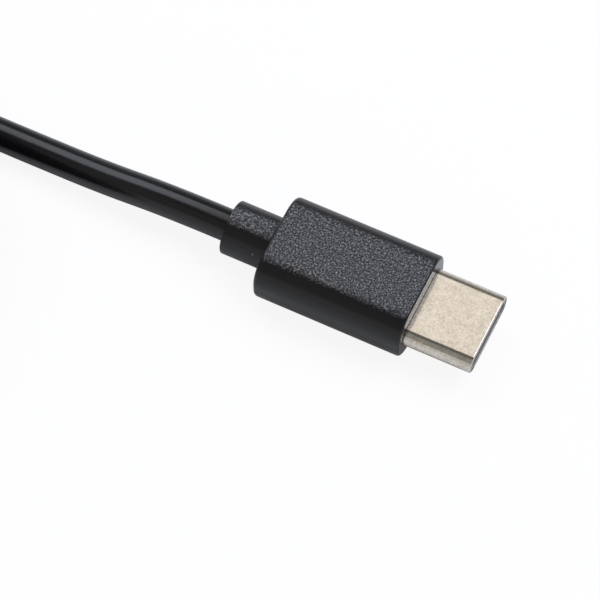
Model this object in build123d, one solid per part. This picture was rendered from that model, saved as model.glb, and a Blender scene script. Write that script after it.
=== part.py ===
from build123d import *
import math
import os

# A black USB-C cable with the same moulded plug on both ends, in millimetres.
# The near plug lies flat with its mouth towards +X. The cord runs back along -X into a tied coil,
# and the far plug lies on the coil. The origin is under the middle of the near plug, on the surface.

# The moulded black body and its strain-relief collar
BODY_LENGTH = 14.6
BODY_WIDTH = 9.95
BODY_HEIGHT = 6.3
BODY_CORNER_RADIUS = 2.7
FRONT_EDGE_RADIUS = 0.25
REAR_EDGE_RADIUS = 0.4
COLLAR_LENGTH = 4.5
COLLAR_DIAMETER = 5.2
COLLAR_EDGE_RADIUS = 0.12

# The drawn metal shell
SHELL_WIDTH = 8.25
SHELL_HEIGHT = 2.4
SHELL_WALL = 0.2
SHELL_REACH = 6.65
SHELL_GRIP = 3.4
SHELL_LIP_RADIUS = 0.12

# Clearances between pieces
FIT = 0.02
SEAT = 0.05

# The black insulator inside the mouth
MOUTH_RECESS = 0.05
INSULATOR_GRIP = 0.95
SLOT_WIDTH = 6.9
SLOT_HEIGHT = 0.9
SLOT_DEPTH = 5.6
SLOT_CORNER_RADIUS = 0.3

# The contacts, a standard set for charging and plain data
CONTACT_PITCH = 0.5
CONTACT_WIDTH = 0.25
CONTACT_THICKNESS = 0.15
CONTACT_RUN_HEIGHT = 0.6
CONTACT_CREST_HEIGHT = 0.3
CONTACT_CREST_LENGTH = 0.6
CONTACT_TIP = 4.8
CONTACT_TIP_LIFT = 0.15
CONTACT_TAIL = 1.6
GROOVE_GAP = 0.04
GROOVE_END_GAP = 0.2
UPPER_CONTACTS = (1, 4, 5, 6, 7, 9, 12)
LOWER_CONTACTS = (1, 4, 5, 9, 12)
ROW_MIDDLE = 6.5

# The moulded combs that hold the contacts, and the latch plate between them
COMB_LENGTH = 2.0
LATCH_THICKNESS = 0.2
LATCH_ARM_WIDTH = 0.3
LATCH_ARM_REACH = 5.3
LATCH_HOOK_LENGTH = 0.6
LATCH_HOOK_DEPTH = 0.35
LATCH_SIDE_GAP = 0.1

# The grounding springs above and below the insulator
SPRING_THICKNESS = 0.1
SPRING_WIDTH = 5.2
SPRING_START = 2.4
SPRING_END = 4.7
FINGER_COUNT = 4
FINGER_WIDTH = 0.6
FINGER_PITCH = 1.33
FINGER_REACH = 5.85
FINGER_ROOT = 0.3
FINGER_CREST_HEIGHT = 0.52
FINGER_CREST_LENGTH = 0.25
FINGER_TIP_LIFT = 0.08

# The circuit board behind the combs
BOARD_LENGTH = 6.5
BOARD_WIDTH = 7.0
BOARD_THICKNESS = 0.6

# The folded shield can with room for the cores behind the board, its strap and its crimp ring
CAN_WALL = 0.2
CAN_HEIGHT = 3.5
CAN_SLEEVE = 2.8
CAN_FRONT = 0.8
CAN_CORNER_RADIUS = 0.6
CORE_ROOM = 1.65
STRAP_WIDTH = 2.0
CRIMP_LENGTH = 1.8

# The inner mould's tail between the can and the crimp ring
TAIL_LENGTH = 1.0
TAIL_WIDTH = 3.4
TAIL_WALL = 0.05

# The cord and its five cores: each core's angle in the cord, place across the board, and side of it
CABLE_DIAMETER = 3.1
CABLE_SET_BACK = 0.2
CORE_DIAMETER = 0.8
CORE_CIRCLE_RADIUS = 0.85
CORE_BEND_RADIUS = 0.8
CORE_LEAD = 0.4
CORE_SPREAD_GAP = 0.5
CORE_PAD_REACH = 1.6
CORES = {
    "red_core": (162, -2.2, 1),
    "green_core": (90, 0.0, 1),
    "black_core": (18, 2.2, 1),
    "white_core": (234, -1.2, -1),
    "blue_core": (306, 1.2, -1),
}

# The coil of put-away cord and the lapped tie that squeezes it
COIL_RADIUS = 15.75
COIL_LAYERS = 3
COIL_CENTRE = (-52.2, -18.5)
ENTRY_STUB = 13.0
TIE_ANGLE = 255
TIE_WIDTH = 5.0
TIE_THICKNESS = 0.5
TIE_SQUEEZE = 0.186
TIE_LAP_FOOT = 5.0
TIE_LAP_REACH = 3.0

# The far plug on the coil: its heading, and its axis and collar from the coil's centre
FAR_HEADING = 260
FAR_AXIS_OFFSET = 12.5
FAR_COLLAR_OFFSET = -5.8

# The cord's route outside the coil, chosen by hand
NEAR_ROUTE = [
    (-19.0, 0.0, 3.15),
    (-26.0, 0.15, 2.05),
    (-32.5, 0.35, 1.55),
]
FAR_ROUTE = [
    (-49.8, -30.7, 7.75),
    (-44.8, -28.9, 9.6),
    (-40.1, -25.2, 10.9),
    (-36.6, -19.6, 10.9),
    (-35.8, -12.3, 10.9),
    (-38.9, -5.0, 10.9),
    (-44.4, -0.8, 10.9),
    (-51.4, 0.7, 10.9),
    (-56.3, -0.4, 11.2),
    (-60.3, -3.3, 11.9),
]
BEND_SHARE = 0.45

COIL_SIDE = COIL_LAYERS * CABLE_DIAMETER
AXIS_HEIGHT = BODY_HEIGHT / 2
PLUG_LENGTH = COLLAR_LENGTH + BODY_LENGTH + SHELL_REACH
COMB_FRONT = -INSULATOR_GRIP - SEAT
COMB_REAR = COMB_FRONT - COMB_LENGTH
BOARD_FRONT = COMB_REAR - SEAT
BOARD_REAR = BOARD_FRONT - BOARD_LENGTH
CAN_SHOULDER = -CAN_FRONT - CAN_SLEEVE
CAN_REAR = BOARD_REAR - CORE_ROOM
CRIMP_FRONT = CAN_REAR - TAIL_LENGTH
CRIMP_REAR = CRIMP_FRONT - CRIMP_LENGTH
CABLE_END = CRIMP_FRONT - CABLE_SET_BACK
COLLAR_REAR = -BODY_LENGTH - COLLAR_LENGTH


def bar(start, end, outline):
    """A straight bar along X with an outline in the YZ plane."""
    return extrude(Plane.YZ.offset(start) * outline, amount=end - start)


def block(start, end, side, width, low, high):
    """A box from start to end along X, width wide about side in Y, and from low to high in Z."""
    middle = ((start + end) / 2, side, (low + high) / 2)
    return Pos(*middle) * Box(end - start, width, high - low)


def strip(path, thickness, side, width):
    """A flat metal strip bent along a path in the XZ plane, with mitred bends."""
    points = [Vector(*p) for p in path]
    upper, lower = [], []
    for i, point in enumerate(points):
        before = (point - points[max(i - 1, 0)]).normalized() if i else None
        after = (points[i + 1] - point).normalized() if i + 1 < len(points) else None
        before, after = before or after, after or before
        mitre = (before + after).normalized()
        normal = Vector(-mitre.Y, mitre.X)
        reach = thickness / 2 / mitre.dot(after)
        upper.append(point + normal * reach)
        lower.append(point - normal * reach)
    outline = make_face(Polyline(*upper, *reversed(lower), close=True))
    return Pos(0, side, 0) * extrude(Plane.XZ * outline, amount=width / 2, both=True)


def tube(points, diameter):
    """A round cord of straight runs joined by arcs as large as the runs allow. It prints the radii."""
    corners = [Vector(*p) for p in points]
    radii = []
    for a, b, c in zip(corners, corners[1:], corners[2:]):
        turn = math.radians((b - a).get_angle(c - b))
        shorter = min((b - a).length, (c - b).length)
        radii.append(BEND_SHARE * shorter / math.tan(turn / 2))
    line = FilletPolyline(*corners, radius=radii)
    section = Plane(line @ 0, z_dir=line % 0) * Circle(diameter / 2)
    solid = sweep(section, path=line)
    whole = math.pi * diameter**2 / 4 * line.length
    print("radii", [round(r, 1) for r in radii], "length", round(line.length, 2))
    print("volume over section times length", round(solid.volume / whole, 5))
    return solid


def shell_outline(shrink):
    """The shell's full-round outline, smaller by shrink on every side."""
    return SlotOverall(SHELL_WIDTH - 2 * shrink, SHELL_HEIGHT - 2 * shrink)


def shell():
    """The deep-drawn nickel-plated shell with a softened lip."""
    outer = bar(-SHELL_GRIP, SHELL_REACH, shell_outline(0))
    outer = fillet(outer.edges().group_by(Axis.X)[-1], SHELL_LIP_RADIUS)
    return outer - bar(-SHELL_GRIP, SHELL_REACH, shell_outline(SHELL_WALL))


def contact_side(number):
    """Where a contact stands across the plug."""
    return (number - ROW_MIDDLE) * CONTACT_PITCH


def contact(number, row):
    """One stamped contact: solder tail, straight run, and a sprung crest at the tongue. row is 1 or -1."""
    tail_height = BOARD_THICKNESS / 2 + CONTACT_THICKNESS / 2 + FIT / 2
    path = [
        (COMB_REAR - CONTACT_TAIL, tail_height),
        (COMB_REAR - CONTACT_THICKNESS, tail_height),
        (COMB_REAR + 2 * CONTACT_THICKNESS, CONTACT_RUN_HEIGHT),
        (SHELL_REACH - MOUTH_RECESS - SLOT_DEPTH, CONTACT_RUN_HEIGHT),
        (CONTACT_TIP - CONTACT_CREST_LENGTH, CONTACT_CREST_HEIGHT),
        (CONTACT_TIP, CONTACT_CREST_HEIGHT + CONTACT_TIP_LIFT),
    ]
    path = [(x, row * z) for x, z in path]
    return strip(path, CONTACT_THICKNESS, contact_side(number), CONTACT_WIDTH)


def comb(row, numbers):
    """The moulded comb that holds one row of contacts, flat against the latch plate."""
    half = LATCH_THICKNESS / 2
    keep = block(COMB_REAR, COMB_FRONT, 0, SHELL_WIDTH, min(row * half, row * SHELL_HEIGHT),
                 max(row * half, row * SHELL_HEIGHT))
    body = bar(COMB_REAR, COMB_FRONT, shell_outline(SHELL_WALL + FIT)) & keep
    for number in numbers:
        body -= contact(number, row)
    return body


def latch_side():
    """How far the latch arms' outer edges stand from the middle."""
    return SHELL_WIDTH / 2 - SHELL_WALL - LATCH_SIDE_GAP


def latch_plate():
    """The stamped middle plate with a sprung latch arm and hook along each side."""
    half = LATCH_THICKNESS / 2
    plate = block(COMB_REAR, COMB_FRONT, 0, 2 * latch_side(), -half, half)
    for side in (-1, 1):
        arm_middle = side * (latch_side() - LATCH_ARM_WIDTH / 2)
        plate += block(COMB_REAR, LATCH_ARM_REACH, arm_middle, LATCH_ARM_WIDTH, -half, half)
        inner = latch_side() - LATCH_ARM_WIDTH
        hook = Polyline(
            (LATCH_ARM_REACH - 2 * LATCH_HOOK_LENGTH, side * inner),
            (LATCH_ARM_REACH - LATCH_HOOK_LENGTH, side * (inner - LATCH_HOOK_DEPTH)),
            (LATCH_ARM_REACH, side * inner),
            close=True,
        )
        plate += extrude(make_face(hook), amount=half, both=True)
    return plate


def finger_sides():
    """Where the grounding fingers stand across the plug."""
    return [(i - (FINGER_COUNT - 1) / 2) * FINGER_PITCH for i in range(FINGER_COUNT)]


def spring_height():
    """The middle of a grounding spring's sheet, just inside the shell."""
    return SHELL_HEIGHT / 2 - SHELL_WALL - FIT - SPRING_THICKNESS / 2


def grounding_spring(row):
    """A stamped sheet under the shell with bent fingers that reach into the mouth."""
    height = spring_height()
    half = SPRING_THICKNESS / 2
    low, high = sorted((row * (height - half), row * (height + half)))
    sheet = block(SPRING_START, SPRING_END, 0, SPRING_WIDTH, low, high)
    path = [
        (SPRING_END - SPRING_THICKNESS, row * height),
        (SPRING_END + FINGER_ROOT, row * height),
        (FINGER_REACH - FINGER_CREST_LENGTH, row * FINGER_CREST_HEIGHT),
        (FINGER_REACH, row * (FINGER_CREST_HEIGHT + FINGER_TIP_LIFT)),
    ]
    for side in finger_sides():
        sheet += strip(path, SPRING_THICKNESS, side, FINGER_WIDTH)
    return sheet


def insulator():
    """The moulded insulator: tongue slot, contact grooves, latch grooves and spring windows."""
    front = SHELL_REACH - MOUTH_RECESS
    slot_end = front - SLOT_DEPTH
    body = bar(-INSULATOR_GRIP, front, shell_outline(SHELL_WALL + FIT))
    body -= bar(slot_end, front, RectangleRounded(SLOT_WIDTH, SLOT_HEIGHT, SLOT_CORNER_RADIUS))
    groove_width = CONTACT_WIDTH + 2 * GROOVE_GAP
    groove_top = CONTACT_RUN_HEIGHT + CONTACT_THICKNESS / 2 + GROOVE_GAP
    groove_low = CONTACT_RUN_HEIGHT - CONTACT_THICKNESS / 2 - GROOVE_GAP
    for row, numbers in ((1, UPPER_CONTACTS), (-1, LOWER_CONTACTS)):
        for number in numbers:
            side = contact_side(number)
            low, high = sorted((row * groove_low, row * groove_top))
            body -= block(-INSULATOR_GRIP, slot_end, side, groove_width, low, high)
            low, high = sorted((0, row * groove_top))
            body -= block(slot_end, CONTACT_TIP + GROOVE_END_GAP, side, groove_width, low, high)
        sheet_low = spring_height() - SPRING_THICKNESS / 2 - FIT
        low, high = sorted((row * sheet_low, row * SHELL_HEIGHT / 2))
        body -= block(SPRING_START - SEAT, SPRING_END + SEAT, 0, SPRING_WIDTH + 2 * SEAT, low, high)
        low, high = sorted((0, row * SHELL_HEIGHT / 2))
        for side in finger_sides():
            window = FINGER_WIDTH + 2 * SEAT
            body -= block(SPRING_END - SEAT, FINGER_REACH + 2 * SEAT, side, window, low, high)
    arm_inner = latch_side() - LATCH_ARM_WIDTH - SEAT
    arm_gap = LATCH_THICKNESS / 2 + 2 * FIT
    for side in (-1, 1):
        middle = side * (arm_inner + SHELL_WIDTH / 2) / 2
        width = SHELL_WIDTH / 2 - arm_inner
        body -= block(-INSULATOR_GRIP, LATCH_ARM_REACH + SEAT, middle, width, -arm_gap, arm_gap)
    return body


def board():
    """The small circuit board that carries the contact tails and the cores."""
    half = BOARD_THICKNESS / 2
    return block(BOARD_REAR, BOARD_FRONT, 0, BOARD_WIDTH, -half, half)


def can_outline(shrink):
    """The can's rounded outline, smaller by shrink on every side."""
    width = SHELL_WIDTH + 2 * (FIT + CAN_WALL) - 2 * shrink
    return RectangleRounded(width, CAN_HEIGHT - 2 * shrink, CAN_CORNER_RADIUS - shrink)


def crimp_radius():
    """The inside of the crimp ring."""
    return CABLE_DIAMETER / 2 + FIT


def strap_path():
    """The strap's way from under the crimp ring to the can's floor."""
    floor = (CAN_WALL - CAN_HEIGHT) / 2
    under_ring = -crimp_radius() - CAN_WALL
    return [
        (CRIMP_REAR, under_ring),
        (CRIMP_FRONT, under_ring),
        (CAN_REAR, floor),
        (CAN_REAR + CAN_WALL, floor),
    ]


def shield_can():
    """The folded tinplate can: a sleeve on the shell, a box round the board, a strap and a crimp ring."""
    can = bar(CAN_REAR, CAN_SHOULDER, can_outline(0))
    can -= bar(CAN_REAR, CAN_SHOULDER - CAN_WALL, can_outline(CAN_WALL))
    can += bar(CAN_SHOULDER, -CAN_FRONT, shell_outline(-FIT - CAN_WALL))
    can -= bar(CAN_SHOULDER - CAN_WALL, -CAN_FRONT, shell_outline(-FIT))
    ring = Circle(crimp_radius() + CAN_WALL) - Circle(crimp_radius())
    can += bar(CRIMP_REAR, CRIMP_FRONT, ring)
    return can + strip(strap_path(), CAN_WALL, 0, STRAP_WIDTH)


def core_route(angle, pad_side, row):
    """A core's way from the cord's end to its solder pad, above (row 1) or below (row -1) the board."""
    start_side = CORE_CIRCLE_RADIUS * math.cos(math.radians(angle))
    start_height = CORE_CIRCLE_RADIUS * math.sin(math.radians(angle))
    pad_height = row * (BOARD_THICKNESS / 2 + CORE_DIAMETER / 2 + FIT)
    return [
        (CABLE_END, start_side, start_height),
        (CAN_REAR - CORE_LEAD, start_side, start_height),
        (BOARD_REAR - CORE_SPREAD_GAP, pad_side, pad_height),
        (BOARD_REAR + CORE_PAD_REACH, pad_side, pad_height),
    ]


def core(name, swell):
    """One insulated core, fatter by swell on every side."""
    line = FilletPolyline(*core_route(*CORES[name]), radius=CORE_BEND_RADIUS)
    section = Plane(line @ 0, z_dir=line % 0) * Circle(CORE_DIAMETER / 2 + swell)
    return sweep(section, path=line)


def tail_outline(grow):
    """The outline of the inner mould's tail round the cores, larger by grow on every side."""
    height = 2 * (CORE_CIRCLE_RADIUS + CORE_DIAMETER / 2 + TAIL_WALL)
    return Rectangle(TAIL_WIDTH + 2 * grow, height + 2 * grow)


def inner_mould():
    """The hard inner mould that fills the can round the board and the cores."""
    room = can_outline(CAN_WALL + FIT)
    mould = bar(CAN_REAR, CAN_SHOULDER - CAN_WALL - FIT, room)
    mould += bar(CRIMP_FRONT, CAN_REAR, tail_outline(0))
    half = BOARD_THICKNESS / 2 + FIT
    mould -= block(BOARD_REAR - FIT, 0, 0, BOARD_WIDTH + 2 * FIT, -half, half)
    tails = half + CONTACT_THICKNESS + FIT
    tail_room = 2 * contact_side(UPPER_CONTACTS[-1]) + 2 * CONTACT_WIDTH
    mould -= block(COMB_REAR - CONTACT_TAIL - SEAT, 0, 0, tail_room, -tails, tails)
    for name in CORES:
        mould -= core(name, FIT)
    return mould


def overmould():
    """The soft black body and collar, hollow where the shell, can, inner mould and cord sit."""
    body = bar(-BODY_LENGTH, 0, RectangleRounded(BODY_WIDTH, BODY_HEIGHT, BODY_CORNER_RADIUS))
    body = fillet(body.edges().group_by(Axis.X)[-1], FRONT_EDGE_RADIUS)
    body = fillet(body.edges().group_by(Axis.X)[0], REAR_EDGE_RADIUS)
    collar = bar(COLLAR_REAR, -BODY_LENGTH, Circle(COLLAR_DIAMETER / 2))
    collar = fillet(collar.edges().group_by(Axis.X)[0], COLLAR_EDGE_RADIUS)
    body += collar
    body -= bar(CAN_SHOULDER, 0, shell_outline(-FIT))
    body -= bar(CAN_SHOULDER - FIT, -CAN_FRONT + FIT, shell_outline(-2 * FIT - CAN_WALL))
    body -= bar(CAN_REAR - FIT, CAN_SHOULDER + FIT, can_outline(-FIT))
    body -= bar(CRIMP_FRONT, CAN_REAR, tail_outline(FIT))
    body -= bar(CRIMP_REAR - FIT, CRIMP_FRONT + FIT, Circle(crimp_radius() + CAN_WALL + FIT))
    body -= bar(COLLAR_REAR, CRIMP_FRONT, Circle(CABLE_DIAMETER / 2 + FIT))
    strap_low = min(height for _, height in strap_path()) - CAN_WALL / 2 - FIT
    return body - block(CRIMP_REAR - FIT, CAN_REAR, 0, STRAP_WIDTH + 2 * FIT, strap_low, 0)


def plug_pieces():
    """Every piece of one plug by name, with X along it and x = 0 at the body's front face."""
    pieces = {
        "overmould": overmould(),
        "shell": shell(),
        "shield_can": shield_can(),
        "insulator": insulator(),
        "upper_comb": comb(1, UPPER_CONTACTS),
        "lower_comb": comb(-1, LOWER_CONTACTS),
        "latch_plate": latch_plate(),
        "upper_spring": grounding_spring(1),
        "lower_spring": grounding_spring(-1),
        "circuit_board": board(),
        "inner_mould": inner_mould(),
    }
    for number in UPPER_CONTACTS:
        pieces[f"contact_a{number}"] = contact(number, 1)
    for number in LOWER_CONTACTS:
        pieces[f"contact_b{number}"] = contact(number, -1)
    for name in CORES:
        pieces[name] = core(name, 0)
    return pieces


def coil_ring(grow, lift):
    """The round bundle of turns as one ring, fatter by grow all round its section and raised by lift."""
    side = COIL_SIDE + 2 * grow
    section = RectangleRounded(side, side, CABLE_DIAMETER / 2 + grow)
    ring = revolve(Plane.XZ * Pos(COIL_RADIUS, COIL_SIDE / 2 + lift) * section, axis=Axis.Z)
    return Pos(*COIL_CENTRE, 0) * ring


def tied_ring(grow):
    """The squeezed bundle as it stands on the tie's lower side, fatter by grow all round its section."""
    return coil_ring(grow - TIE_SQUEEZE, TIE_THICKNESS - TIE_SQUEEZE)


def tie_slab(inner, low):
    """A slab across the bundle where the tie sits, from a reach about its middle outwards and from low up."""
    slab = block(inner, COIL_SIDE, 0, TIE_WIDTH, low, 2 * COIL_SIDE)
    return Pos(*COIL_CENTRE, 0) * Rot(0, 0, TIE_ANGLE) * Pos(COIL_RADIUS, 0, 0) * slab


def coil_tie():
    """The strap round the bundle, its end lapped over the outer side and the upper corner."""
    strap = (tied_ring(TIE_THICKNESS) - tied_ring(0)) & tie_slab(-COIL_SIDE, -COIL_SIDE)
    lap = tied_ring(2 * TIE_THICKNESS) - tied_ring(TIE_THICKNESS)
    return strap + (lap & tie_slab(TIE_LAP_REACH, TIE_LAP_FOOT))


def coil_entry():
    """Where the cord first touches the coil, at the top of its outer, lowest turn."""
    outer_turn = COIL_RADIUS + (COIL_LAYERS - 1) / 2 * CABLE_DIAMETER
    return Vector(COIL_CENTRE[0], COIL_CENTRE[1] + outer_turn, CABLE_DIAMETER / 2)


def far_plug_place():
    """The far plug's location, flat on the coil."""
    heading = math.radians(FAR_HEADING)
    ahead = Vector(math.cos(heading), math.sin(heading))
    out = Vector(math.sin(heading), -math.cos(heading))
    front = FAR_COLLAR_OFFSET + COLLAR_LENGTH + BODY_LENGTH
    spot = Vector(*COIL_CENTRE) + out * FAR_AXIS_OFFSET + ahead * front
    return Pos(spot.X, spot.Y, COIL_SIDE + SEAT + AXIS_HEIGHT) * Rot(0, 0, FAR_HEADING)


def main():
    near_place = Pos(PLUG_LENGTH / 2 - SHELL_REACH, 0, AXIS_HEIGHT)
    far_place = far_plug_place()
    nodes = {}
    for name, piece in plug_pieces().items():
        nodes[f"near_{name}"] = near_place * piece
        nodes[f"far_{name}"] = far_place * piece

    entry = coil_entry()
    stub_end = entry + Vector(ENTRY_STUB, 0, 0)
    stub = extrude(Plane(entry, z_dir=(1, 0, 0)) * Circle(CABLE_DIAMETER / 2), amount=ENTRY_STUB)
    slab = tie_slab(-COIL_SIDE, -COIL_SIDE)
    nodes["coil"] = coil_ring(0, 0) - slab + (tied_ring(0) & slab) + stub
    nodes["coil_tie"] = coil_tie()

    near_start = (near_place * Pos(CABLE_END, 0, 0)).position
    nodes["near_lead"] = tube([near_start, *NEAR_ROUTE, stub_end], CABLE_DIAMETER)
    far_bend = (far_place * Pos(COLLAR_REAR - CABLE_DIAMETER, 0, 0)).position
    far_end = (far_place * Pos(CABLE_END, 0, 0)).position
    nodes["far_lead"] = tube([*FAR_ROUTE, far_bend, far_end], CABLE_DIAMETER) - coil_ring(0, 0)

    os.makedirs("parts", exist_ok=True)
    for name, solid in nodes.items():
        solid.label = name
        export_step(solid, f"parts/{name}.step")


main()
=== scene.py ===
import math

import bpy
from mathutils import Matrix, Vector


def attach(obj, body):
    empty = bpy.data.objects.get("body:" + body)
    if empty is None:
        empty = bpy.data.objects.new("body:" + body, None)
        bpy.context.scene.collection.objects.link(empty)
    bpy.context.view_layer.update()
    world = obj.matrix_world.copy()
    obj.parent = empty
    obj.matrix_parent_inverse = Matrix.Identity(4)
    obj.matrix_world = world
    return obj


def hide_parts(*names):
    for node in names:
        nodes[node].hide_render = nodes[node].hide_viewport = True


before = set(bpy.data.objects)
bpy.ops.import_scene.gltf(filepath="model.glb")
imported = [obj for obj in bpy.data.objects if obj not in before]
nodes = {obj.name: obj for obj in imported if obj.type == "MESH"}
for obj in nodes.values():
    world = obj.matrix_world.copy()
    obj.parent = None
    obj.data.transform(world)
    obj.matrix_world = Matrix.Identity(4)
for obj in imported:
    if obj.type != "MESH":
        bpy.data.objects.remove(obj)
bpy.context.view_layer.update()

# A black charging cable on a white table, looked down on from beside the open mouth of its near plug.
# That plug and the start of the cord show. The rest of the cord, wound and tied, and the far plug lie
# past the left edge of the view.

MM = 0.001

# Where the camera stands and looks, in millimetres and degrees, and its lens for a 36 mm sensor
CAMERA_PLACE = (54.868, -125.784, 250.224)
CAMERA_AZIMUTH = 25.80
CAMERA_ELEVATION = 61.33
CAMERA_LENS = 187.105
SENSOR_WIDTH = 36.0

# The cord, as the part has it, in millimetres
CABLE_DIAMETER = 3.1
NEAR_COLLAR = (-12.875, 0.0, 3.15)
NEAR_ROUTE = [
    (-19.0, 0.0, 3.15),
    (-26.0, 0.15, 2.05),
    (-32.5, 0.35, 1.55),
    (-39.2, 0.35, 1.55),
]
FAR_ROUTE = [
    (-49.8, -30.7, 7.75),
    (-44.8, -28.9, 9.6),
    (-40.1, -25.2, 10.9),
    (-36.6, -19.6, 10.9),
    (-35.8, -12.3, 10.9),
    (-38.9, -5.0, 10.9),
    (-44.4, -0.8, 10.9),
    (-51.4, 0.7, 10.9),
    (-56.3, -0.4, 11.2),
    (-60.3, -3.3, 11.9),
]

# Where the far plug lies: its heading in degrees, then in millimetres how far its axis passes from the
# coil's middle, how far along it the collar starts, and its height above the table
FAR_HEADING = 260
FAR_AXIS_OFFSET = 12.5
FAR_COLLAR_OFFSET = -5.8
FAR_AXIS_HEIGHT = 12.5

# The coil, in millimetres and degrees: three strands side by side in each of three rows, filled row by row
# there and back. A strand takes the last part of its turn, the shift window, to cross to its next place.
COIL_CENTRE = (-52.2, -18.5)
COIL_RADIUS = 15.75
STRAND_CELLS = [(1, 0), (0, 0), (-1, 0), (-1, 1), (0, 1), (1, 1), (1, 2), (0, 2), (-1, 2)]
ENTRY_ANGLE = 90
TURN_POINTS = 24
LAST_TURN = 180
SHIFT_WINDOW = 100
RISING_BULGE = 1.2

# The plugs, as the part has them, and the fine lip of soft plastic round each shell, in millimetres. The
# lip is dark as painted shade for the gap between the moulding and the shell.
BODY_LENGTH = 14.6
COLLAR_LENGTH = 4.5
SHELL_WIDTH = 8.25
SHELL_HEIGHT = 2.4
LIP_SIZE = 0.04
LIP_STEPS = 24

# The woven tie round the coil, in millimetres and degrees. It squeezes the strands by a share of their
# spacing, its lapped end starts and stops at the foot and the reach, and its selvedges are thinner.
TIE_ANGLE = 255
TIE_WIDTH = 5.0
TIE_THICKNESS = 0.5
TIE_REACH = 40
TIE_SQUEEZE = 0.06
TIE_LAP_FOOT = 5.0
TIE_LAP_REACH = 3.0
TIE_LAP_ROWS = 4
TIE_SELVEDGE = 0.6
TIE_COLUMNS = 12
TIE_STEPS = 12

# The finishes' patterns, in millimetres. The drawing lines and the threads are finer on a real cable and
# are drawn this coarse so that they show. The others are about as large as the real ones.
GRIT_SIZE = 0.17
DUST_SPACING = 2.2
JACKET_WAVE = 1.2
PLATING_CLOUD = 0.9
PLATING_GRAIN = 0.2
DRAWN_LINE = 0.12
THREAD_SPACING = 0.45

# How deep the patterns are drawn, in millimetres, which is deeper than real for the grit
GRIT_DEPTH = 0.12
WAVE_DEPTH = 0.03
PLATING_DEPTH = 0.006
THREAD_DEPTH = 0.12

# How rough the moulding is on its spark-eroded faces, its side walls and its polished front
GRIT_ROUGHNESS = 0.2
WALL_ROUGHNESS = 0.26
FRONT_ROUGHNESS = 0.06

# How far a plain finish's roughness goes up and down with its grain
ROUGHNESS_SPREAD = 0.06

# Half the table's side in metres, its glow, and the share of the glow that the camera and mirrors see
TABLE_REACH = 3.0
TABLE_GLOW = 1.04
GLOW_SEEN = 0.86
GLOW_MIRRORED = 0.1

UPPER_CONTACTS = (1, 4, 5, 6, 7, 9, 12)
LOWER_CONTACTS = (1, 4, 5, 9, 12)
CONTACTS = [f"contact_a{n}" for n in UPPER_CONTACTS] + [f"contact_b{n}" for n in LOWER_CONTACTS]
PLUGS = ("near", "far")


def linear(hex_colour):
    """A colour written as sRGB hex, as linear red, green, blue and alpha."""
    channels = [int(hex_colour[i:i + 2], 16) / 255 for i in (0, 2, 4)]
    straight = [c / 12.92 if c <= 0.04045 else ((c + 0.055) / 1.055) ** 2.4 for c in channels]
    return (*straight, 1.0)


def per_metre(size):
    """How many times a pattern of that size in millimetres repeats in a metre."""
    return 1 / (size * MM)


def add(tree, kind, settings=None, **sockets):
    """Adds a node with its settings. A socket goes by its name with _ for a space, or by i and its number,
    and is set to a value or linked to an output."""
    node = tree.nodes.new(kind)
    for name, value in (settings or {}).items():
        setattr(node, name, value)
    for name, value in sockets.items():
        number = name[1:]
        socket = node.inputs[int(number) if number.isdigit() else name.replace("_", " ")]
        if isinstance(value, bpy.types.NodeSocket):
            tree.links.new(value, socket)
        else:
            socket.default_value = value
    return node


def new_material(name):
    """A material with an empty tree."""
    made = bpy.data.materials.new(name)
    made.use_nodes = True
    made.node_tree.nodes.clear()
    return made, made.node_tree


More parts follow.
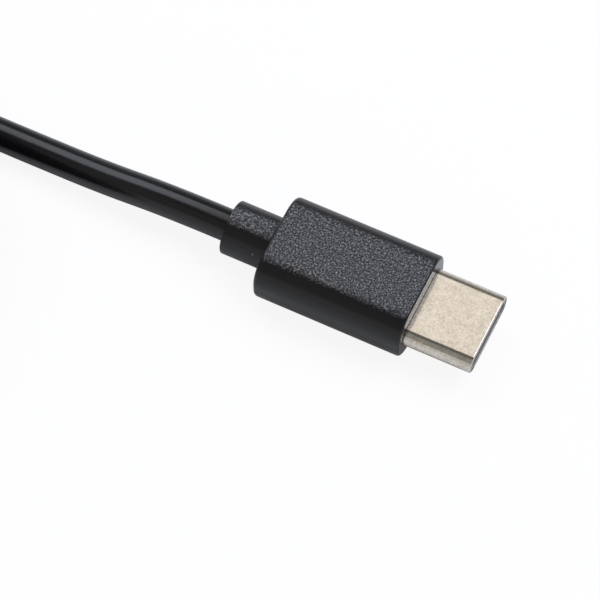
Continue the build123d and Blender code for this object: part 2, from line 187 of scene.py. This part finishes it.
def spark_eroded_pvc(name, heading):
    """Soft black PVC, moulded, for the plug with that heading in degrees. The tool's broad faces are
    spark-eroded, which gives a fine grit that glints, and the grit's high points are painted light grey as
    painted glints. Its side walls are smoother, and its front is polished and mirrors the shell. A few
    specks of dust cling to it."""
    made, tree = new_material(name)
    place = add(tree, "ShaderNodeTexCoord").outputs["Object"]
    # 1 on the broad faces, easing to 0 on the walls
    facing = add(tree, "ShaderNodeNewGeometry").outputs["Normal"]
    upright = add(tree, "ShaderNodeSeparateXYZ", Vector=facing).outputs["Z"]
    flat = add(tree, "ShaderNodeMath", {"operation": "ABSOLUTE"}, i0=upright).outputs[0]
    broad = add(tree, "ShaderNodeMapRange", {"interpolation_type": "SMOOTHSTEP"},
                Value=flat, From_Min=0.88, From_Max=1.0).outputs["Result"]
    # The walls' roughness, which drops on the front
    ahead = (math.cos(math.radians(heading)), math.sin(math.radians(heading)), 0)
    forward = add(tree, "ShaderNodeVectorMath", {"operation": "DOT_PRODUCT"}, i0=facing, i1=ahead)
    wall = add(tree, "ShaderNodeMapRange", {"interpolation_type": "SMOOTHSTEP"},
               Value=forward.outputs["Value"], From_Min=0.8, From_Max=0.97,
               To_Min=WALL_ROUGHNESS, To_Max=FRONT_ROUGHNESS)
    # The grit, whose high points catch the light through the bump and are also painted lighter as painted
    # glints
    grit = add(tree, "ShaderNodeTexNoise", Vector=place, Scale=per_metre(GRIT_SIZE),
               Detail=2.0, Roughness=0.6)
    depth = add(tree, "ShaderNodeMath", {"operation": "MULTIPLY"}, i0=grit.outputs["Fac"], i1=broad)
    bump = add(tree, "ShaderNodeBump", Strength=1.0, Distance=GRIT_DEPTH * MM, Height=depth.outputs[0])
    roughness = add(tree, "ShaderNodeMapRange", Value=broad,
                    To_Min=wall.outputs["Result"], To_Max=GRIT_ROUGHNESS)
    # Painted highlight: on the broad faces the grit's high points blend towards light grey, standing in for
    # their glints
    peaks = add(tree, "ShaderNodeMapRange", Value=grit.outputs["Fac"], From_Min=0.38, From_Max=0.7)
    glints = add(tree, "ShaderNodeMath", {"operation": "POWER"}, i0=peaks.outputs["Result"], i1=2.0)
    painted_glints = add(tree, "ShaderNodeMath", {"operation": "MULTIPLY"}, i0=glints.outputs[0], i1=broad)
    tint = add(tree, "ShaderNodeMix", {"data_type": "RGBA"}, Factor=painted_glints.outputs[0],
               i6=linear("111112"), i7=linear("a2a2a3"))
    # The dust, one speck to a cell and not in all of them
    dust = add(tree, "ShaderNodeTexVoronoi", Vector=place, Scale=per_metre(DUST_SPACING))
    specks = add(tree, "ShaderNodeMapRange", Value=dust.outputs["Distance"],
                 From_Min=0.02, From_Max=0.05, To_Min=1.0, To_Max=0.0)
    painted_glints_and_dust = add(tree, "ShaderNodeMix", {"data_type": "RGBA"}, Factor=specks.outputs["Result"],
                 i6=tint.outputs[2], i7=linear("8c8a86"))
    surface = add(tree, "ShaderNodeBsdfPrincipled", Base_Color=painted_glints_and_dust.outputs[2],
                  Roughness=roughness.outputs["Result"], IOR=1.45, Normal=bump.outputs["Normal"])
    add(tree, "ShaderNodeOutputMaterial", Surface=surface.outputs["BSDF"])
    return made


def extruded_pvc():
    """The cord's black PVC jacket, pressed through a die, which leaves it satin with faint waves."""
    made, tree = new_material("extruded_pvc")
    place = add(tree, "ShaderNodeTexCoord").outputs["Object"]
    waves = add(tree, "ShaderNodeTexNoise", Vector=place, Scale=per_metre(JACKET_WAVE), Detail=3.0)
    bump = add(tree, "ShaderNodeBump", Strength=0.25, Distance=WAVE_DEPTH * MM, Height=waves.outputs["Fac"])
    roughness = add(tree, "ShaderNodeMapRange", Value=waves.outputs["Fac"], To_Min=0.16, To_Max=0.26)
    surface = add(tree, "ShaderNodeBsdfPrincipled", Base_Color=linear("101011"),
                  Roughness=roughness.outputs["Result"], IOR=1.5, Normal=bump.outputs["Normal"])
    add(tree, "ShaderNodeOutputMaterial", Surface=surface.outputs["BSDF"])
    return made


def drawn_nickel():
    """Deep-drawn steel with bright nickel plate, a warm grey. The plating bath leaves fine sparkling grain
    and cloudy patches on it, and the drawing die leaves very faint lines. They run along X, which is
    along the near plug's shell."""
    made, tree = new_material("drawn_nickel")
    place = add(tree, "ShaderNodeTexCoord").outputs["Object"]
    clouds = add(tree, "ShaderNodeTexNoise", Vector=place, Scale=per_metre(PLATING_CLOUD),
                 Detail=4.0, Roughness=0.7)
    grain = add(tree, "ShaderNodeTexNoise", Vector=place, Scale=per_metre(PLATING_GRAIN),
                Detail=3.0, Roughness=0.6)
    # The lines are some 17 times as long as they are wide
    stretched = add(tree, "ShaderNodeMapping", Vector=place, Scale=(0.06, 1.0, 1.0))
    lines = add(tree, "ShaderNodeTexNoise", Vector=stretched.outputs["Vector"],
                Scale=per_metre(DRAWN_LINE), Detail=2.0)
    height = add(tree, "ShaderNodeMath", {"operation": "MULTIPLY_ADD"},
                 i0=lines.outputs["Fac"], i1=0.15, i2=grain.outputs["Fac"])
    bump = add(tree, "ShaderNodeBump", Strength=1.0, Distance=PLATING_DEPTH * MM, Height=height.outputs[0])
    # The grain and the clouds shade the metal together
    mottle = add(tree, "ShaderNodeMath", {"operation": "MULTIPLY_ADD"},
                 i0=grain.outputs["Fac"], i1=1.4, i2=clouds.outputs["Fac"])
    patches = add(tree, "ShaderNodeMapRange", Value=mottle.outputs[0], From_Min=0.9, From_Max=1.5)
    tint = add(tree, "ShaderNodeMix", {"data_type": "RGBA"}, Factor=patches.outputs["Result"],
               i6=linear("c6bdad"), i7=linear("e9e4d6"))
    roughness = add(tree, "ShaderNodeMapRange", Value=clouds.outputs["Fac"], To_Min=0.2, To_Max=0.1)
    surface = add(tree, "ShaderNodeBsdfPrincipled", Base_Color=tint.outputs[2], Metallic=1.0,
                  Roughness=roughness.outputs["Result"], Normal=bump.outputs["Normal"])
    add(tree, "ShaderNodeOutputMaterial", Surface=surface.outputs["BSDF"])
    return made


def plain_finish(name, colour, grain, roughness, metallic=0.0, ior=1.5, deep=0.01):
    """A moulded, plated or rolled finish: one colour with a fine grain of that size and depth in
    millimetres, which also varies the gloss a little."""
    made, tree = new_material(name)
    place = add(tree, "ShaderNodeTexCoord").outputs["Object"]
    noise = add(tree, "ShaderNodeTexNoise", Vector=place, Scale=per_metre(grain), Detail=3.0)
    bump = add(tree, "ShaderNodeBump", Strength=0.4, Distance=deep * MM, Height=noise.outputs["Fac"])
    spread = add(tree, "ShaderNodeMapRange", Value=noise.outputs["Fac"],
                 To_Min=roughness - ROUGHNESS_SPREAD, To_Max=roughness + ROUGHNESS_SPREAD)
    surface = add(tree, "ShaderNodeBsdfPrincipled", Base_Color=linear(colour), Metallic=metallic,
                  Roughness=spread.outputs["Result"], IOR=ior, Normal=bump.outputs["Normal"])
    add(tree, "ShaderNodeOutputMaterial", Surface=surface.outputs["BSDF"])
    return made


def woven_nylon():
    """The tie's black nylon in a plain weave, dull and a little fuzzy. Its threads go over and under one
    another, laid out on the tie's own map in metres."""
    made, tree = new_material("woven_nylon")
    cloth = add(tree, "ShaderNodeTexCoord").outputs["UV"]
    threads = add(tree, "ShaderNodeVectorMath", {"operation": "SCALE"}, i0=cloth,
                  Scale=math.pi * per_metre(THREAD_SPACING))
    ways = add(tree, "ShaderNodeVectorMath", {"operation": "SINE"}, i0=threads.outputs["Vector"])
    sides = add(tree, "ShaderNodeSeparateXYZ", Vector=ways.outputs["Vector"])
    weave = add(tree, "ShaderNodeMath", {"operation": "MULTIPLY"},
                i0=sides.outputs["X"], i1=sides.outputs["Y"])
    bump = add(tree, "ShaderNodeBump", Strength=1.0, Distance=THREAD_DEPTH * MM, Height=weave.outputs[0])
    # Painted light and shade: the threads' high points are drawn lighter and the hollows between them
    # darker
    shade = add(tree, "ShaderNodeMapRange", Value=weave.outputs[0], From_Min=-1.0, From_Max=1.0)
    tint = add(tree, "ShaderNodeMix", {"data_type": "RGBA"}, Factor=shade.outputs["Result"],
               i6=linear("161618"), i7=linear("303034"))
    surface = add(tree, "ShaderNodeBsdfPrincipled", Base_Color=tint.outputs[2], Roughness=0.75,
                  Sheen_Weight=0.3, Sheen_Roughness=0.5, Normal=bump.outputs["Normal"])
    add(tree, "ShaderNodeOutputMaterial", Surface=surface.outputs["BSDF"])
    return made


def white_table():
    """White paint with a glow of its own. The camera sees mostly the glow, so the table is nearly white and
    its shadows are faint, and mirror-like faces see mostly the lit paint."""
    made, tree = new_material("white_table")
    paint = add(tree, "ShaderNodeBsdfDiffuse", Color=linear("f2f2f2"))
    ray = add(tree, "ShaderNodeLightPath")
    lit = add(tree, "ShaderNodeMath", {"operation": "MAXIMUM"},
              i0=ray.outputs["Is Camera Ray"], i1=ray.outputs["Is Transmission Ray"])
    glow = add(tree, "ShaderNodeEmission", Strength=TABLE_GLOW)
    seen = add(tree, "ShaderNodeMath", {"operation": "MULTIPLY"}, i0=lit.outputs[0], i1=GLOW_SEEN)
    share = add(tree, "ShaderNodeMath", {"operation": "MULTIPLY_ADD"},
                i0=ray.outputs["Is Glossy Ray"], i1=GLOW_MIRRORED, i2=seen.outputs[0])
    both = add(tree, "ShaderNodeMixShader", Fac=share.outputs[0], i1=paint.outputs[0], i2=glow.outputs[0])
    add(tree, "ShaderNodeOutputMaterial", Surface=both.outputs[0])
    return made


def far_collar():
    """Where the cord enters the far plug's collar, and the plug's heading."""
    heading = math.radians(FAR_HEADING)
    ahead = Vector((math.cos(heading), math.sin(heading), 0))
    out = Vector((math.sin(heading), -math.cos(heading), 0))
    middle = Vector((*COIL_CENTRE, FAR_AXIS_HEIGHT))
    return middle + out * FAR_AXIS_OFFSET + ahead * FAR_COLLAR_OFFSET, ahead


def smooth(share):
    """A share from 0 to 1, eased at both ends."""
    share = min(max(share, 0.0), 1.0)
    return share * share * (3 - 2 * share)


def strand_cell(turned):
    """How far the strand that has turned so many degrees lies from the coil's circle, and its row."""
    turned = max(turned, 0)
    turn = int(turned // 360)
    side, row = STRAND_CELLS[turn]
    through = smooth((turned % 360 - 360 + SHIFT_WINDOW) / SHIFT_WINDOW)
    if through:
        next_side, next_row = STRAND_CELLS[turn + 1]
        # A strand that climbs a row bulges past the ones beside it, most when it is half way up
        rising = abs(next_row - row) * 4 * through * (1 - through)
        lateral = side * CABLE_DIAMETER + (next_side - side) * CABLE_DIAMETER * through
        return lateral + side * rising * RISING_BULGE, row + (next_row - row) * through
    return side * CABLE_DIAMETER, row


def near_tie(angle):
    """1 under the tie, easing to 0 away from it."""
    apart = abs((angle - TIE_ANGLE + 180) % 360 - 180)
    return smooth(1 - apart / TIE_REACH)


def coil_points():
    """The coil's turns: points just outside the circle, so that the smooth line lies on it."""
    step = 360 / TURN_POINTS
    outside = 1 / math.cos(math.radians(step / 2))
    count = int(((len(STRAND_CELLS) - 1) * 360 + LAST_TURN) / step) + 1
    points = []
    for i in range(count):
        turned = (i - 0.5) * step
        angle = ENTRY_ANGLE + turned
        lateral, row = strand_cell(turned)
        tied = near_tie(angle)
        squeeze = 1 - TIE_SQUEEZE * tied
        radius = (COIL_RADIUS + lateral * squeeze) * outside
        height = CABLE_DIAMETER * (0.5 + row * squeeze) + TIE_THICKNESS * tied
        spot = Vector((math.cos(math.radians(angle)), math.sin(math.radians(angle)), 0)) * radius
        points.append(Vector((*COIL_CENTRE, height)) + spot)
    return points


def cord_points():
    """The whole cord's line, from the near plug's collar to the far plug's."""
    collar, ahead = far_collar()
    far_bend = collar - ahead * CABLE_DIAMETER
    route = [NEAR_COLLAR, *NEAR_ROUTE, *coil_points(), *FAR_ROUTE, far_bend, collar]
    return [Vector(p) * MM for p in route]


def make_cord():
    """The cord as one smooth round line."""
    curve = bpy.data.curves.new("cord", "CURVE")
    curve.dimensions = "3D"
    curve.bevel_depth = CABLE_DIAMETER / 2 * MM
    curve.bevel_resolution = 10
    curve.resolution_u = 6
    curve.use_fill_caps = True
    spline = curve.splines.new("NURBS")
    points = cord_points()
    spline.points.add(len(points) - 1)
    for target, point in zip(spline.points, points):
        target.co = (*point, 1.0)
    spline.order_u = 3
    spline.use_endpoint_u = True
    cord = bpy.data.objects.new("cord", curve)
    bpy.context.scene.collection.objects.link(cord)
    return cord


def rounded_square(half, corner, steps):
    """Points anticlockwise round a square with round corners, from the foot of its right side."""
    points = []
    for quarter in range(4):
        turn = Matrix.Rotation(quarter * math.pi / 2, 2)
        side_start = turn @ Vector((half, corner - half))
        middle = turn @ Vector((half - corner, half - corner))
        side_end = turn @ Vector((half, half - corner))
        points += [side_start.lerp(side_end, i / steps) for i in range(steps)]
        for i in range(steps):
            a = (quarter + i / steps) * math.pi / 2
            points.append(middle + Vector((math.cos(a), math.sin(a))) * corner)
    return points


def strap_rows():
    """The strap's way round the strands as points and outward normals, once round and then lapped over
    itself, and how high the middle of the strands is."""
    half = (len(STRAND_CELLS) ** 0.5 / 2 - TIE_SQUEEZE) * CABLE_DIAMETER + TIE_THICKNESS / 2
    corner = (0.5 - TIE_SQUEEZE) * CABLE_DIAMETER + TIE_THICKNESS / 2
    loop = rounded_square(half, corner, TIE_STEPS)
    centre_height = half + TIE_THICKNESS / 2
    foot = Vector((half, TIE_LAP_FOOT - centre_height))
    end = Vector((TIE_LAP_REACH, half))
    first = min(range(len(loop)), key=lambda i: (loop[i] - foot).length)
    last = min(range(len(loop)), key=lambda i: (loop[i] - end).length)
    rows = []
    for i in range(first, last + len(loop) + 1):
        before, after = loop[(i - 1) % len(loop)], loop[(i + 1) % len(loop)]
        tangent = (after - before).normalized()
        normal = Vector((tangent.y, -tangent.x))
        lift = TIE_THICKNESS * smooth((i - first - len(loop)) / TIE_LAP_ROWS + 1)
        rows.append((loop[i % len(loop)] + normal * lift, normal))
    return rows, centre_height


def make_tie():
    """A woven hook-and-loop tie round the strands, bent with the coil across its width."""
    rows, centre_height = strap_rows()
    turn = Matrix.Rotation(math.radians(TIE_ANGLE), 3, "Z")
    centre = Vector((*COIL_CENTRE, centre_height))
    half = TIE_THICKNESS / 2
    across = [(i / TIE_COLUMNS - 0.5) * TIE_WIDTH for i in range(TIE_COLUMNS + 1)]
    selvedge = TIE_WIDTH / 2 - THREAD_SPACING / 2
    section = [(x, half if abs(x) < selvedge else half * TIE_SELVEDGE) for x in across]
    section += [(x, -through) for x, through in reversed(section)]
    verts, cloth, faces = [], [], []
    along = 0.0
    for (p, normal), (before, _) in zip(rows, [rows[0], *rows]):
        along += (p - before).length
        for side, through in section:
            q = p + normal * through
            out = math.sqrt((COIL_RADIUS + q.x) ** 2 - side ** 2)
            verts.append((centre + turn @ Vector((out, side, q.y))) * MM)
            cloth.append((along * MM, side * MM))
    sides = len(section)
    for i in range(len(rows) - 1):
        for j in range(sides):
            a, b = i * sides + j, i * sides + (j + 1) % sides
            faces.append((a, b, b + sides, a + sides))
    faces.append(tuple(range(sides))[::-1])
    faces.append(tuple(range((len(rows) - 1) * sides, len(rows) * sides)))
    mesh = bpy.data.meshes.new("tie")
    mesh.from_pydata(verts, [], faces)
    weave_map = mesh.uv_layers.new(name="cloth")
    for loop in mesh.loops:
        weave_map.data[loop.index].uv = cloth[loop.vertex_index]
    mesh.update()
    tie = bpy.data.objects.new("tie", mesh)
    bpy.context.scene.collection.objects.link(tie)
    return tie


def far_place():
    """The far plug's place as a matrix, with X along it and the origin where the cord enters its collar."""
    collar, _ = far_collar()
    return Matrix.Translation(collar * MM) @ Matrix.Rotation(math.radians(FAR_HEADING), 4, "Z")


def full_round(width, height, steps):
    """Points anticlockwise round a full-round outline of that width and height."""
    radius = height / 2
    points = []
    for side in (1, -1):
        for i in range(steps + 1):
            a = (i / steps - 0.5) * math.pi
            x = side * (width / 2 - radius + math.cos(a) * radius)
            y = side * math.sin(a) * radius
            points.append(Vector((x, y)))
    return points


def make_shade_lip(name, place):
    """The moulding's fine lip round the shell, where the soft plastic creeps a little along the metal. It
    is a dark ring put there as painted shade for the gap between the moulding and the shell.
    """
    front = BODY_LENGTH + COLLAR_LENGTH
    inner = full_round(SHELL_WIDTH, SHELL_HEIGHT, LIP_STEPS)
    outer = full_round(SHELL_WIDTH + 2 * LIP_SIZE, SHELL_HEIGHT + 2 * LIP_SIZE, LIP_STEPS)
    rings = [(outer, -LIP_SIZE), (outer, LIP_SIZE), (inner, LIP_SIZE), (inner, -LIP_SIZE)]
    verts = [place @ (Vector((front + along, p.x, p.y)) * MM) for ring, along in rings for p in ring]
    count = len(inner)
    faces = []
    for i in range(len(rings)):
        for j in range(count):
            a, b = i * count + j, i * count + (j + 1) % count
            c, d = (b + count) % len(verts), (a + count) % len(verts)
            faces.append((a, b, c, d))
    mesh = bpy.data.meshes.new(name)
    mesh.from_pydata(verts, [], faces)
    mesh.update()
    lip = bpy.data.objects.new(name, mesh)
    bpy.context.scene.collection.objects.link(lip)
    return lip


def dress(node, material):
    """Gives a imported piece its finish."""
    mesh = nodes[node].data
    mesh.materials.clear()
    mesh.materials.append(material)


def set_camera():
    """The camera, upright, above the near side of the mouth."""
    camera = bpy.data.cameras.new("camera")
    camera.lens = CAMERA_LENS
    camera.sensor_width = SENSOR_WIDTH
    camera.clip_start = 10 * MM
    camera.clip_end = 10
    stand = bpy.data.objects.new("camera", camera)
    stand.location = Vector(CAMERA_PLACE) * MM
    stand.rotation_euler = (math.radians(90 - CAMERA_ELEVATION), 0, math.radians(CAMERA_AZIMUTH))
    bpy.context.scene.collection.objects.link(stand)
    bpy.context.scene.camera = stand


def add_softbox(name, place, size, radiance, colour):
    """A soft lamp at that place and of that size in metres. Its long side is level and lies across the near
    plug's line, and it leans towards the plug."""
    lamp = bpy.data.lights.new(name, "AREA")
    lamp.shape = "RECTANGLE"
    lamp.size, lamp.size_y = size
    lamp.energy = radiance * math.pi * size[0] * size[1]
    lamp.color = linear(colour)[:3]
    stand = bpy.data.objects.new(name, lamp)
    lean = math.atan2(place[0], place[2])
    stand.matrix_world = Matrix.Translation(place) @ Matrix.Rotation(lean, 4, "Y")
    bpy.context.scene.collection.objects.link(stand)


def light_studio():
    """A pale room, dimmer above and beyond the cable, with a soft lamp overhead and a brighter, cooler one
    on each side of it."""
    world = bpy.data.worlds.new("studio")
    world.use_nodes = True
    tree = world.node_tree
    tree.nodes.clear()
    sight = add(tree, "ShaderNodeTexCoord").outputs["Generated"]
    parts = add(tree, "ShaderNodeSeparateXYZ", Vector=sight)
    # The walls go from pale to dim between 17 and 25 degrees above the table, and the ceiling dims again
    # between 55 and 68 degrees. Beyond the cable both are dimmer.
    walls = add(tree, "ShaderNodeMapRange", Value=parts.outputs["Z"],
                From_Min=0.3, From_Max=0.42, To_Min=0.8, To_Max=0.37)
    ceiling = add(tree, "ShaderNodeMapRange", Value=parts.outputs["Z"],
                  From_Min=0.82, From_Max=0.93, To_Min=1.0, To_Max=0.4)
    beyond = add(tree, "ShaderNodeMapRange", Value=parts.outputs["Y"],
                 From_Min=0.3, From_Max=0.6, To_Min=1.0, To_Max=0.55)
    dimmed = add(tree, "ShaderNodeMath", {"operation": "MULTIPLY"},
                 i0=walls.outputs["Result"], i1=ceiling.outputs["Result"])
    strength = add(tree, "ShaderNodeMath", {"operation": "MULTIPLY"},
                   i0=dimmed.outputs[0], i1=beyond.outputs["Result"])
    sky = add(tree, "ShaderNodeBackground", Strength=strength.outputs[0])
    add(tree, "ShaderNodeOutputWorld", Surface=sky.outputs[0])
    bpy.context.scene.world = world
    add_softbox("overhead_lamp", (-0.025, 0.36, 0.75), (0.41, 0.84), radiance=0.88, colour="fff7f5")
    add_softbox("mouth_side_lamp", (0.35, 0.35, 0.663), (0.338, 0.66), radiance=4.9, colour="e0e8ff")
    add_softbox("cord_side_lamp", (-0.419, 0.35, 0.622), (0.436, 0.62), radiance=2.3, colour="eef2ff")


def lay_table():
    """The white table under the cable."""
    mesh = bpy.data.meshes.new("table_top")
    corners = [(x * TABLE_REACH, y * TABLE_REACH, 0) for x, y in ((-1, -1), (1, -1), (1, 1), (-1, 1))]
    mesh.from_pydata(corners, [], [(0, 1, 2, 3)])
    table = bpy.data.objects.new("table_top", mesh)
    mesh.materials.append(white_table())
    bpy.context.scene.collection.objects.link(table)


def dress_plugs():
    """Every piece of both plugs in its own finish."""
    # Gold plate on stamped contacts: smooth, yellow and bright
    contact_gold = plain_finish("gold_plate", "e8c477", 0.1, 0.22, metallic=1.0, deep=0.004)
    finishes = {
        "shell": drawn_nickel(),
        # Folded tinplate: a dull light grey
        "shield_can": plain_finish("tinplate", "c4c6c6", 0.3, 0.32, metallic=1.0),
        # Moulded liquid-crystal polymer: satin, with a fine fibrous grain. Its grey is lighter than the
        # polymer's own, as painted light that lifts the shade inside the mouth
        "insulator": plain_finish("moulded_lcp", "8a8683", 0.15, 0.42, ior=1.65),
        # Stamped and rolled spring steel: an even grey with a soft shine
        "latch_plate": plain_finish("spring_steel", "b9b6b0", 0.1, 0.26, metallic=1.0, deep=0.005),
        # Glass-epoxy laminate under solder mask: a smooth deep green
        "circuit_board": plain_finish("green_laminate", "1f5a36", 0.4, 0.3, ior=1.55),
        # Polyethylene moulded without colour: milky and waxy
        "inner_mould": plain_finish("natural_polyethylene", "d9d8cf", 0.6, 0.45, ior=1.51),
        # Extruded core insulation: smooth and satin, each core in its own colour
        "red_core": plain_finish("red_insulation", "a3201d", 0.5, 0.4, ior=1.52),
        "green_core": plain_finish("green_insulation", "23703a", 0.5, 0.4, ior=1.52),
        "black_core": plain_finish("black_insulation", "1b1b1d", 0.5, 0.4, ior=1.52),
        "white_core": plain_finish("white_insulation", "e4e3df", 0.5, 0.4, ior=1.52),
        "blue_core": plain_finish("blue_insulation", "1f3f8a", 0.5, 0.4, ior=1.52),
    }
    finishes["upper_comb"] = finishes["lower_comb"] = finishes["insulator"]
    finishes["upper_spring"] = finishes["lower_spring"] = finishes["latch_plate"]
    for name in CONTACTS:
        finishes[name] = contact_gold
    for plug in PLUGS:
        for name, finish in finishes.items():
            dress(f"{plug}_{name}", finish)
    dress("near_overmould", spark_eroded_pvc("near_moulded_pvc", 0))
    dress("far_overmould", spark_eroded_pvc("far_moulded_pvc", FAR_HEADING))
    # The lip's PVC in a dark warm grey, painted shade for the gap between the moulding and the shell
    painted_gap_shade = plain_finish("pvc_painted_gap_shade", "3a3935", 0.3, 0.35)
    near_place = Matrix.Translation(Vector(NEAR_COLLAR) * MM)
    shade_lips = {"near": make_shade_lip("near_shade_lip", near_place), "far": make_shade_lip("far_shade_lip", far_place())}
    for lip in shade_lips.values():
        lip.data.materials.append(painted_gap_shade)
        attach(lip, "root")
    return shade_lips


def lay_cord():
    """The cord and its tie, in place of the plain solids, with the far plug on its end."""
    cord = make_cord()
    cord.data.materials.append(extruded_pvc())
    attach(cord, "root")
    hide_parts("near_lead", "coil", "far_lead")
    tie = make_tie()
    tie.data.materials.append(woven_nylon())
    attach(tie, "root")
    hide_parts("coil_tie")


shade_lips = dress_plugs()
lay_cord()
lay_table()
light_studio()
set_camera()
bpy.context.scene.view_settings.view_transform = "Standard"
